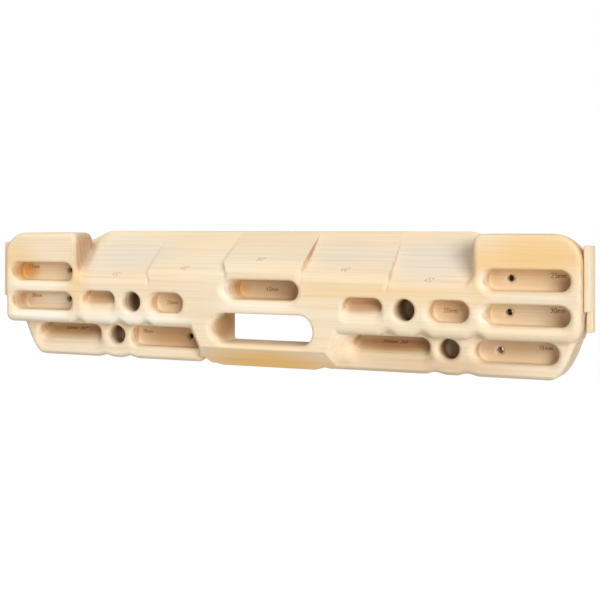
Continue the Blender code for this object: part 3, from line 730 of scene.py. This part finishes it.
PALE = srgb(244, 226, 197)
WARM = srgb(243, 215, 172)
DEEP = srgb(178, 128, 72)
END_GRAIN = srgb(172, 124, 72)
ORANGE = srgb(243, 200, 134)
# Painted shade: the warm tone of the downward-facing chamfer's shade
PAINTED_CHAMFER_SHADE = srgb(250, 200, 124)
AMBER = srgb(224, 172, 92)
ASHEN = srgb(230, 218, 200)
# Painted shade: a duller tone for the shade under the lip
PAINTED_OVERHANG_SHADE = srgb(218, 188, 154)
# Painted shadow: the right block's shadow on the slope beside it
PAINTED_BLOCK_SHADOW = srgb(212, 174, 126)
SHADED = srgb(190, 136, 74)
# Painted highlight: near-white where strong light falls on lips and on the left ends of pockets
PAINTED_HIGHLIGHT = srgb(255, 246, 230)
# Painted shade: dark brown for deep shade in one-finger holes and pocket ends
PAINTED_HOLE_SHADE = srgb(86, 49, 16)
# Painted shade: near black for the dark inside of screw holes
PAINTED_BORE_SHADE = srgb(8, 5, 3)

# Painted shade inside the holds: one-finger holes, longer holds and screw holes
MONO_LENGTH = 30.0
MONO_REACH = 26.0
MONO_MIDDLE = 0.62
MONO_DEPTH = 0.55
SHADE_MIDDLE = 0.75
SHADE_DEPTH = 0.66
SHADE_LENGTH = 0.9
SHADE_HEIGHT = 22.0
SHADE_RISE = 3.0
SHADE = 0.6
CENTRE_SHADE = 0.3
BORE_REACH = 5.0
BORE_TOP = 0.6


def zone(x, depth, z, across, deep, high, tint, most, inner=0.25, outer=1.1):
    """A soft patch of another tone, with its middle and its reach each way in millimetres.

    The depth counts from the front plane, and most is the tint's share in the middle.
    """
    centre = to_metres(np.array((x, depth, z), float))
    return tuple(centre), (across * MM, deep * MM, high * MM), tint, most, inner, outer


def hold_zone(hold):
    """The painted shade inside a hold, or none for end pockets and the slot."""
    centre, middle = (hold.left + hold.right) / 2, (hold.top + hold.bottom) / 2
    length, depth = hold.right - hold.left, hold.floor - hold.start
    if length < MONO_LENGTH:
        return [zone(centre, hold.start + MONO_MIDDLE * depth, middle, MONO_REACH, MONO_DEPTH * depth,
                     MONO_REACH, PAINTED_HOLE_SHADE, most=0.9, inner=0.3, outer=1.0)]
    if hold in END_POCKETS or hold is SLOT:
        return []
    most = CENTRE_SHADE if hold is CENTRE_POCKET else SHADE
    return [zone(centre, hold.start + SHADE_MIDDLE * depth, middle + SHADE_RISE, SHADE_LENGTH * length,
                 SHADE_DEPTH * depth, SHADE_HEIGHT, SHADED, most, inner=0.2, outer=1.0)]


def bore_zone(hold):
    """Painted shade: the dark inside of a screw hole, from the countersink to beyond the back."""
    bore = THICKNESS - hold.floor
    middle = hold.floor + COUNTERSINK_DEPTH * BORE_TOP + bore
    return zone(hold.screw, middle, hold.screw_height(), BORE_REACH, bore, BORE_REACH, PAINTED_BORE_SHADE,
                most=1.0, inner=0.98, outer=1.02)


# A later zone lies over the earlier ones
ZONES = [
    # Warm faces of the blocks, and painted warm shade on the bulge's downward-facing chamfer
    zone(305, 2, 52, 80, 50, 36, ORANGE, 0.75),
    zone(-340, 2, 45, 50, 50, 32, ORANGE, 0.45),
    zone(-252, 2, 12, 30, 40, 34, ORANGE, 0.55),
    zone(250, 2, 34, 20, 40, 36, ORANGE, 0.50),
    zone(0, 12, -70, 105, 50, 22, PAINTED_CHAMFER_SHADE, 0.95),
    # Cut across the fibres: the blocks' inner walls and the slot's left wall; and painted shadow of the right
    # block on the slope beside it
    zone(-247, 26, 48, 12, 32, 40, END_GRAIN, 0.85),
    zone(-63, 34, -31, 9, 34, 22, END_GRAIN, 0.75),
    zone(236, 32, 48, 40, 26, 40, PAINTED_BLOCK_SHADOW, 0.65),
    # Painted highlights on the lips under the pockets and on the pockets' left ends, where the light falls
    # strongly; a greyer tone on the right upper lip
    zone(-296, 2, 11, 66, 12, 9, PAINTED_HIGHLIGHT, 0.50),
    zone(-296, 2, -24, 66, 12, 9, PAINTED_HIGHLIGHT, 0.85),
    zone(-168, 2, -24, 100, 12, 10, PAINTED_HIGHLIGHT, 0.85),
    zone(0, 2, -6, 66, 12, 9, PAINTED_HIGHLIGHT, 0.50),
    zone(296, 2, 11, 66, 12, 9, ASHEN, 0.50),
    zone(252, 8, 28, 11, 20, 16, PAINTED_HIGHLIGHT, 0.75),
    zone(252, 8, -7, 11, 20, 16, PAINTED_HIGHLIGHT, 0.75),
    zone(-44, 8, 12, 12, 20, 16, PAINTED_HIGHLIGHT, 0.60),
    # The middle slope's right step, painted shade under the lip on the right lower face, and the left ends of
    # the left pockets
    zone(49.4, 28, 58, 1.1, 26, 22, END_GRAIN, 0.80),
    zone(190, 15, -64, 140, 14, 14, PAINTED_OVERHANG_SHADE, 0.70),
    zone(-335, 22, 28, 18, 16, 13, END_GRAIN, 0.55),
    zone(-335, 22, -7, 18, 16, 13, END_GRAIN, 0.40),
    # Front above the right half of the upper row, and the paler slopes
    zone(120, 0, 12, 140, 30, 12, ORANGE, 0.35),
    zone(190, 30, 48, 75, 40, 36, ASHEN, 0.85),
    zone(-190, 30, 48, 90, 40, 36, ASHEN, 0.80),
    zone(90, 30, 55, 60, 30, 26, ASHEN, 0.55),
    # Ends and floors of single holds: wood tones on left ends, painted light on the left second pocket's floor,
    # painted shade in the left flat hold, in the right long hold and at the right end of the right first pocket
    zone(-333, 22, 28, 24, 10, 16, AMBER, 0.85),
    zone(-42, 34, 12, 14, 14, 14, ORANGE, 0.80),
    zone(110, 20, -42, 14, 16, 12, ORANGE, 0.70),
    zone(-285, 31, -7, 54, 5, 14, PAINTED_HIGHLIGHT, 0.85),
    zone(-132, 34, -46, 56, 6, 16, SHADED, 0.40),
    zone(145, 36, -52, 56, 14, 16, SHADED, 0.50),
    zone(338, 22, 26, 13, 14, 15, PAINTED_HOLE_SHADE, 0.30),
]
for hold in HOLDS:
    ZONES += hold_zone(hold)
# Painted shade: the screw holes are painted near black inside, where they are dark with shade
# The lower right hole stays pale, because the photograph shows light through it
BORE_SHADES = [bore_zone(hold) for hold in END_POCKETS + [LOWER_ROW[2]]]
# Painted light: a paler tint on the right rail's outer side, which faces the key lamp
RAIL_PAINTED_LIGHT = [zone(358, 20, 30, 3.5, 60, 90, srgb(255, 248, 230), 0.85)]

board_wood = wood("board_wood", PALE, WARM, DEEP, END_GRAIN, ZONES, BORE_SHADES)
rail_wood = wood(
    "rail_wood", srgb(240, 218, 186), srgb(236, 208, 168), srgb(200, 156, 104), srgb(214, 176, 128),
    zones=RAIL_PAINTED_LIGHT, offset=(0.31, 0.02, 0.4), ring=0.006, upright=True,
)
batten_wood = wood(
    "batten_wood", srgb(246, 226, 192), srgb(238, 206, 158), srgb(178, 130, 82), srgb(206, 164, 112),
    offset=(0.71, 0.3, 0.1), ring=0.0045, upright=True,
)
burnt = plain("burnt_wood", srgb(166, 118, 72))
faint = plain("faint_mark", srgb(198, 172, 138))
strong = plain("strong_mark", srgb(112, 76, 44))

# The board
axes, values = sample_board()
verts, quads = surface_net(axes, values)
normals = settle(verts)
board = quad_mesh("milled_board", to_metres(verts), quads, board_wood)
board.data.normals_split_custom_set_from_vertices(normals.tolist())
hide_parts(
    "top_stave", "left_upper_stave", "right_upper_stave", "left_middle_stave", "right_middle_stave",
    "left_bottom_stave", "right_bottom_stave",
)
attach(board, "root")

# Strips on the ends, in metres
NOSE = 0.0048
NOSE_SEGMENTS = 8
STRIP_EDGE = 0.0011
STRIP_SEGMENTS = 3
SHARP = math.radians(40.0)
RAIL_TRIM = 0.0008
BATTEN_NOSE = 0.0015
BATTEN_RISE = 0.0024
BATTEN_TRIM = 0.0015
SAME_PLACE = 1e-5


def along_z(edge):
    return abs(edge.verts[0].co.z - edge.verts[1].co.z) > STRIP_EDGE


def strip(node, material, nose, rise, trim):
    """A strip in the place of a plain one, with rounded edges and a well rounded outer front edge."""
    low, high = [list(corner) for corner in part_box(node)]
    low[2] += trim
    high[2] += rise
    outer = high[0] if high[0] > 0 else low[0]
    bm = bmesh.new()
    bmesh.ops.create_cube(bm, size=1.0)
    for vert in bm.verts:
        vert.co = Vector([(low[i] + high[i]) / 2 + vert.co[i] * (high[i] - low[i]) for i in range(3)])
    corner = [
        edge for edge in bm.edges if along_z(edge) and all(
            abs(v.co.x - outer) < SAME_PLACE and abs(v.co.y - low[1]) < SAME_PLACE for v in edge.verts
        )
    ]
    bmesh.ops.bevel(bm, geom=corner, offset=nose, segments=NOSE_SEGMENTS, affect="EDGES", profile=0.5)
    sharp = [edge for edge in bm.edges if edge.calc_face_angle(0.0) > SHARP]
    bmesh.ops.bevel(bm, geom=sharp, offset=STRIP_EDGE, segments=STRIP_SEGMENTS, affect="EDGES", profile=0.5)
    mesh = bpy.data.meshes.new("shaped_" + node)
    bm.to_mesh(mesh)
    bm.free()
    mesh.polygons.foreach_set("use_smooth", [True] * len(mesh.polygons))
    thing = place_mesh("shaped_" + node, mesh, material)
    thing.modifiers.new("even_normals", "WEIGHTED_NORMAL")
    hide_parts(node)
    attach(thing, "root")


for side in ("left", "right"):
    strip(side + "_rail", rail_wood, NOSE if side == "right" else STRIP_EDGE, 0.0, RAIL_TRIM)
    strip(side + "_batten", batten_wood, BATTEN_NOSE, BATTEN_RISE, BATTEN_TRIM)
# The dowels stay as they are, in the rails' wood
for name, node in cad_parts.items():
    if "dowel" in name:
        node.data.materials.clear()
        node.data.materials.append(rail_wood)


# Marks: plain depths and angles burnt into the wood. Each letter is drawn one unit high.


def ellipse(x, y, across, up, count):
    turns = [step * math.tau / count for step in range(count)]
    return [(x + across * math.cos(turn), y + up * math.sin(turn)) for turn in turns]


ZERO = ellipse(0.30, 0.5, 0.26, 0.5, 16)
RING = ellipse(0.17, 0.86, 0.14, 0.14, 10)
LOOP = ellipse(0.30, 0.0, 0.23, 0.24, 12)
HOOK = [(0.04, 0.12), (0.16, 0.01), (0.32, 0.0), (0.50, 0.09), (0.56, 0.28), (0.50, 0.46)]
GLYPHS = {
    "0": (0.80, [(ZERO, True)]),
    "1": (0.62, [([(0.12, 0.78), (0.32, 1.0), (0.32, 0.0)], False)]),
    "2": (0.80, [([(0.05, 0.78), (0.14, 0.94), (0.30, 1.0), (0.48, 0.93), (0.54, 0.74), (0.46, 0.52),
                   (0.04, 0.0), (0.58, 0.0)], False)]),
    "3": (0.80, [([(0.05, 0.88), (0.18, 0.99), (0.34, 1.0), (0.50, 0.90), (0.52, 0.70), (0.40, 0.56),
                   (0.24, 0.53)], False), (HOOK + [(0.40, 0.54)], False)]),
    "4": (0.84, [([(0.44, 0.0), (0.44, 1.0), (0.03, 0.30), (0.62, 0.30)], False)]),
    "5": (0.80, [([(0.52, 1.0), (0.12, 1.0), (0.08, 0.56), (0.28, 0.63)] + HOOK[::-1], False)]),
    "8": (0.80, [([(x, 0.76 + 0.96 * y) for x, y in LOOP], True),
                 ([(x, 0.26 + 1.08 * y) for x, y in LOOP], True)]),
    "m": (0.98, [([(0.04, 0.0), (0.04, 0.62)], False),
                 ([(0.04, 0.46), (0.20, 0.62), (0.36, 0.50), (0.36, 0.0)], False),
                 ([(0.36, 0.46), (0.54, 0.62), (0.70, 0.50), (0.70, 0.0)], False)]),
    "o": (0.46, [(RING, True)]),
    " ": (0.45, []),
}
STROKE = 0.75
SUNK = -0.12
PROUD = 0.02
DEPTH_SIZE = 4.6
SMALL_SIZE = 4.4
LONG_HOLD_SIZE = 5.2
LONG_HOLD_DEPTH = 41.5
ANGLE_SIZE = 5.4


def ribbon(bm, path, closed, place):
    """A thin closed strip that follows a path drawn on a surface."""
    path = [Vector(point) for point in path]
    rows = []
    for i, point in enumerate(path):
        before = path[i - 1] if closed or i else point
        after = path[(i + 1) % len(path)] if closed or i + 1 < len(path) else point
        run = (after - before).normalized()
        side = Vector((-run.y, run.x)) * STROKE / 2
        corners = ((-side, SUNK), (side, SUNK), (side, PROUD), (-side, PROUD))
        rows.append([bm.verts.new(place(point + shift, lift)) for shift, lift in corners])
    pairs = list(zip(rows, rows[1:]))
    if closed:
        pairs.append((rows[-1], rows[0]))
    else:
        bm.faces.new(rows[0][::-1])
        bm.faces.new(rows[-1])
    for a, b in pairs:
        for i in range(4):
            j = (i + 1) % 4
            bm.faces.new((a[i], a[j], b[j], b[i]))


def mark(name, text, left, middle_z, height, depth=None, drop=None, rise=None):
    """Numbers on the floor of a hold at a depth, on a hold's rising floor, or on a slope with a drop."""
    up = Vector((0.0, 0.0, 1.0) if rise is None else (0.0, 1.0, rise)).normalized()
    if drop is not None:
        fall = drop + RIDGE - TOP
        depth = HINGE * (1.0 - (RIDGE - middle_z) / fall)
        up = Vector((0.0, HINGE, fall)).normalized()
    out = Vector((0.0, -up.z, up.y))
    origin = Vector((left, depth, middle_z)) - up * height / 2

    def place(point, lift):
        p = origin + Vector((point.x, 0.0, 0.0)) + up * point.y + out * lift
        return to_metres(np.array(p))

    bm = bmesh.new()
    along = 0.0
    for letter in text:
        advance, strokes = GLYPHS[letter]
        for path, closed in strokes:
            ribbon(bm, [((along + x) * height, y * height) for x, y in path], closed, place)
        along += advance
    bmesh.ops.recalc_face_normals(bm, faces=bm.faces)
    mesh = bpy.data.meshes.new(name)
    bm.to_mesh(mesh)
    bm.free()
    thing = place_mesh(name, mesh, faint if drop else strong if rise else burnt)
    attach(thing, "root")


for place, text, left, middle_z, height, depth in (
    ("right_first_pocket", "25mm", 314.6, 33.0, DEPTH_SIZE, 25.0),
    ("right_second_pocket", "30mm", 312.8, -2.6, DEPTH_SIZE, 30.0),
    ("left_first_pocket", "25mm", -332.0, 33.0, DEPTH_SIZE, 25.0),
    ("left_second_pocket", "30mm", -332.0, -2.4, DEPTH_SIZE, 30.0),
    ("right_shallow_hold", "20mm", 203.6, -5.1, SMALL_SIZE, 20.0),
    ("left_shallow_hold", "20mm", -131.4, -5.6, SMALL_SIZE, 20.0),
    ("right_flat_hold", "18mm", 300.6, -41.3, SMALL_SIZE, 33.0),
    ("left_flat_hold", "18mm", -172.0, -41.3, SMALL_SIZE, 33.0),
    ("centre_pocket", "40mm", -13.0, 11.5, DEPTH_SIZE, 40.0),
):
    mark("mark_" + place, text, left, middle_z, height, depth=depth)
for side, left, hold in (("left", -288.0, LOWER_ROW[0]), ("right", 128.0, LOWER_ROW[3])):
    mark("mark_" + side + "_long_sloped_hold", "30mm 30o", left, hold.slope_height(LONG_HOLD_DEPTH),
         LONG_HOLD_SIZE, depth=LONG_HOLD_DEPTH, rise=hold.rise)
for place, text, left, middle_z, drop in (
    ("centre_slope", "30o", -9.5, 46.2, DROPS[0]),
    ("right_side_slope", "40o", 91.2, 36.2, DROPS[1]),
    ("left_side_slope", "40o", -106.5, 35.0, DROPS[1]),
    ("right_outer_slope", "45o", 186.2, 26.8, DROPS[2]),
    ("left_outer_slope", "45o", -198.8, 26.6, DROPS[2]),
):
    mark("mark_" + place, text, left, middle_z, ANGLE_SIZE, drop=drop)

# Stage, light and camera, in metres
WHITE = (1.0, 1.0, 1.0, 1.0)
FLOOR_TONE = (0.86, 0.86, 0.86, 1.0)
FLOOR_REACH = 6.0
FLOOR_HEIGHT = -0.9
FLOOR_GLOW = 0.80
SKY = 0.19


def stage_floor():
    """A pale floor that looks nearly white and still takes the board's shadow."""
    bm = bmesh.new()
    bmesh.ops.create_grid(bm, x_segments=1, y_segments=1, size=FLOOR_REACH)
    mesh = bpy.data.meshes.new("floor")
    bm.to_mesh(mesh)
    bm.free()
    n = Nodes("floor")
    n.shader.inputs["Base Color"].default_value = FLOOR_TONE
    n.shader.inputs["Roughness"].default_value = 0.9
    n.shader.inputs["Specular IOR Level"].default_value = 0.1
    n.shader.inputs["Emission Color"].default_value = WHITE
    path = n.add("LightPath")
    seen = n.math("MAXIMUM", path.outputs["Is Camera Ray"], path.outputs["Is Glossy Ray"])
    seen = n.math("MAXIMUM", seen, path.outputs["Is Transmission Ray"])
    n.feed(n.math("MULTIPLY", seen, FLOOR_GLOW), n.shader.inputs["Emission Strength"])
    floor = place_mesh("floor", mesh, n.material)
    floor.location = (0.0, 0.0, FLOOR_HEIGHT)


def world_light(strength):
    """A white background where it is seen, and a weaker one where it only lights."""
    world = bpy.data.worlds.new("studio")
    bpy.context.scene.world = world
    world.use_nodes = True
    tree = world.node_tree
    background = tree.nodes["Background"]
    background.inputs["Color"].default_value = WHITE
    path = tree.nodes.new("ShaderNodeLightPath")
    seen = path.outputs["Is Camera Ray"]
    for ray in ("Is Glossy Ray", "Is Transmission Ray"):
        either = tree.nodes.new("ShaderNodeMath")
        either.operation = "MAXIMUM"
        tree.links.new(seen, either.inputs[0])
        tree.links.new(path.outputs[ray], either.inputs[1])
        seen = either.outputs[0]
    level = tree.nodes.new("ShaderNodeMapRange")
    tree.links.new(seen, level.inputs[0])
    level.inputs["To Min"].default_value = strength
    level.inputs["To Max"].default_value = 1.0
    tree.links.new(level.outputs[0], background.inputs["Strength"])


def softbox(name, place, target, size, power):
    """A rectangular light that faces a target."""
    lamp = bpy.data.lights.new(name, "AREA")
    lamp.shape = "RECTANGLE"
    lamp.size, lamp.size_y = size
    lamp.energy = power
    thing = bpy.data.objects.new(name, lamp)
    thing.location = place
    thing.rotation_euler = (Vector(target) - Vector(place)).to_track_quat("-Z", "Y").to_euler()
    bpy.context.scene.collection.objects.link(thing)


stage_floor()
world_light(SKY)
softbox("key", (5.5, -5.75, 2.2), (0.0, 0.0, 0.0), (4.0, 4.0), 520.0)
softbox("overhead", (-0.9, -1.1, 2.1), (-0.2, 0.0, 0.0), (1.6, 1.2), 25.0)

# The camera that was fitted to the photograph with the board's own symmetries
camera = bpy.data.cameras.new("camera")
camera.sensor_width = 36.0
camera.lens = 70.3
camera.shift_y = -0.1227
seer = bpy.data.objects.new("camera", camera)
seer.location = (0.5745, -1.214, 0.0825)
seer.rotation_euler = (math.radians(90.0), 0.0, math.radians(24.5))
bpy.context.scene.collection.objects.link(seer)
bpy.context.scene.camera = seer
bpy.context.scene.view_settings.view_transform = "Standard"
